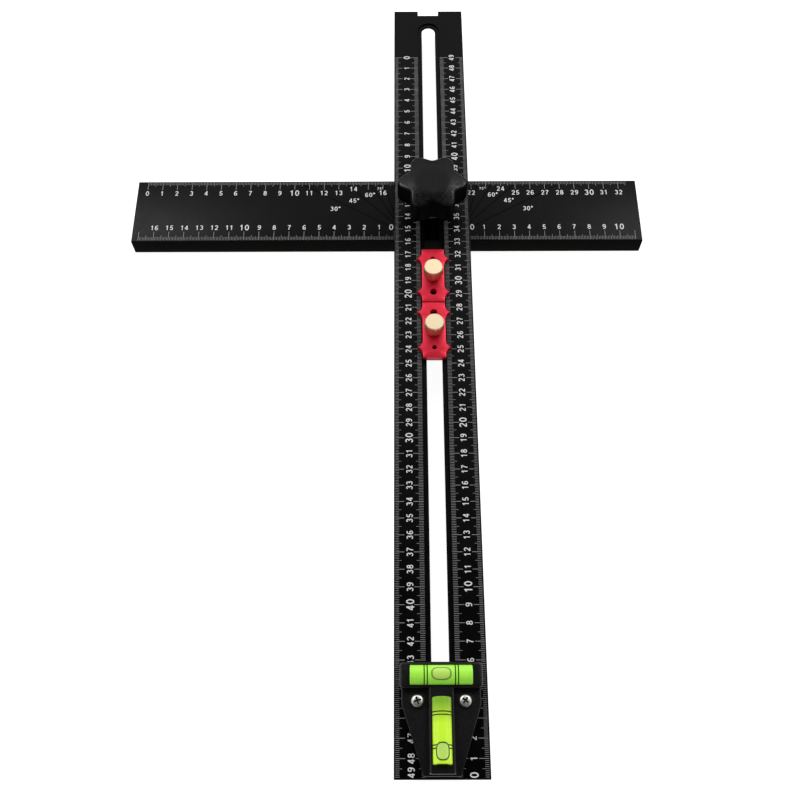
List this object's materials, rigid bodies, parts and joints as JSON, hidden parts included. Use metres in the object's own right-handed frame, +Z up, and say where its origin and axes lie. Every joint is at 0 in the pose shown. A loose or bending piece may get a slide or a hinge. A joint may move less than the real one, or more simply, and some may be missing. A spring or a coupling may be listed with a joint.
{
  "type": "sliding bevel",
  "caption": "Adjustable marking square and bevel: slotted rule blade that slides and swivels on a crossbar under a star knob, with marking sliders and a spirit level.",
  "frame": {"origin": "centre of the blade's zero-end face, at half its thickness and on its centre line", "axes": "+Y along the blade from its zero end, +X to the right across the blade, +Z up out of its top face"},
  "size_m": [0.339, 0.536, 0.0461],
  "materials": {
    "black_anodised_aluminium": "black anodised, satin",
    "red_anodised_aluminium": "crimson anodised, satin",
    "black_plastic": "black moulded plastic, fine grain",
    "brass": "turned brass, bright",
    "zinc_plated_steel": "zinc plated",
    "nickel_plated_steel": "nickel plated",
    "black_nylon": "moulded nylon",
    "nut_steel": "black oxide steel",
    "vial_acrylic": "clear acrylic, green tint",
    "vial_plug": "green acrylic",
    "vial_liquid": "fluorescent green liquid"
  },
  "bodies": {
    "blade": {"blade": "black_anodised_aluminium", "level_holder": "black_plastic", "cross_vial_tube": "vial_acrylic", "cross_vial_plug": "vial_plug", "cross_vial_liquid": "vial_liquid", "long_vial_tube": "vial_acrylic", "long_vial_plug": "vial_plug", "long_vial_liquid": "vial_liquid", "holder_screw_left": "nickel_plated_steel", "holder_screw_right": "nickel_plated_steel"},
    "slide_block": {"slot_bush": "black_nylon"},
    "crossbar": {"crossbar": "black_anodised_aluminium", "pivot_bolt": "zinc_plated_steel"},
    "washer": {"clamp_washer": "zinc_plated_steel"},
    "knob": {"star_knob": "black_plastic", "knob_insert": "brass"},
    "upper_slider": {"slider_upper": "red_anodised_aluminium"},
    "upper_screw": {"thumbscrew_upper": "brass"},
    "upper_nut": {"clamp_nut_upper": "nut_steel"},
    "lower_slider": {"slider_lower": "red_anodised_aluminium"},
    "lower_screw": {"thumbscrew_lower": "brass"},
    "lower_nut": {"clamp_nut_lower": "nut_steel"}
  },
  "joints": [
    {"name": "head_slide", "type": "slide", "parent": "blade", "child": "slide_block", "axis": [0, 1, 0], "range_m": [-0.013, 0.156]},
    {"name": "head_swivel", "type": "hinge", "parent": "slide_block", "child": "crossbar", "pos_m": [0, 0.3588, 0], "axis": [0, 0, 1], "continuous": true},
    {"name": "washer_lift", "type": "slide", "parent": "crossbar", "child": "washer", "axis": [0, 0, 1], "range_m": [0, 0.00126]},
    {"name": "knob_turn", "type": "hinge", "parent": "washer", "child": "knob", "pos_m": [0, 0.3588, 0.02], "axis": [0, 0, 1], "range_deg": [0, 450]},
    {"name": "upper_slide", "type": "slide", "parent": "blade", "child": "upper_slider", "axis": [0, 1, 0], "range_m": [0, 0.01]},
    {"name": "upper_screw_turn", "type": "hinge", "parent": "upper_slider", "child": "upper_screw", "pos_m": [0, 0.3022, 0.01], "axis": [0, 0, 1], "range_deg": [0, 360]},
    {"name": "upper_nut_drop", "type": "slide", "parent": "upper_slider", "child": "upper_nut", "axis": [0, 0, -1], "range_m": [0, 0.00071]},
    {"name": "lower_slide", "type": "slide", "parent": "blade", "child": "lower_slider", "axis": [0, 1, 0], "range_m": [-0.183, 0]},
    {"name": "lower_screw_turn", "type": "hinge", "parent": "lower_slider", "child": "lower_screw", "pos_m": [0, 0.2621, 0.01], "axis": [0, 0, 1], "range_deg": [0, 360]},
    {"name": "lower_nut_drop", "type": "slide", "parent": "lower_slider", "child": "lower_nut", "axis": [0, 0, -1], "range_m": [0, 0.00071]}
  ],
  "couplings": [
    {"joint": "washer_lift", "follows": "knob_turn", "m_per_rad": 0.00015915},
    {"joint": "upper_nut_drop", "follows": "upper_screw_turn", "m_per_rad": 0.00011141},
    {"joint": "lower_nut_drop", "follows": "lower_screw_turn", "m_per_rad": 0.00011141}
  ]
}
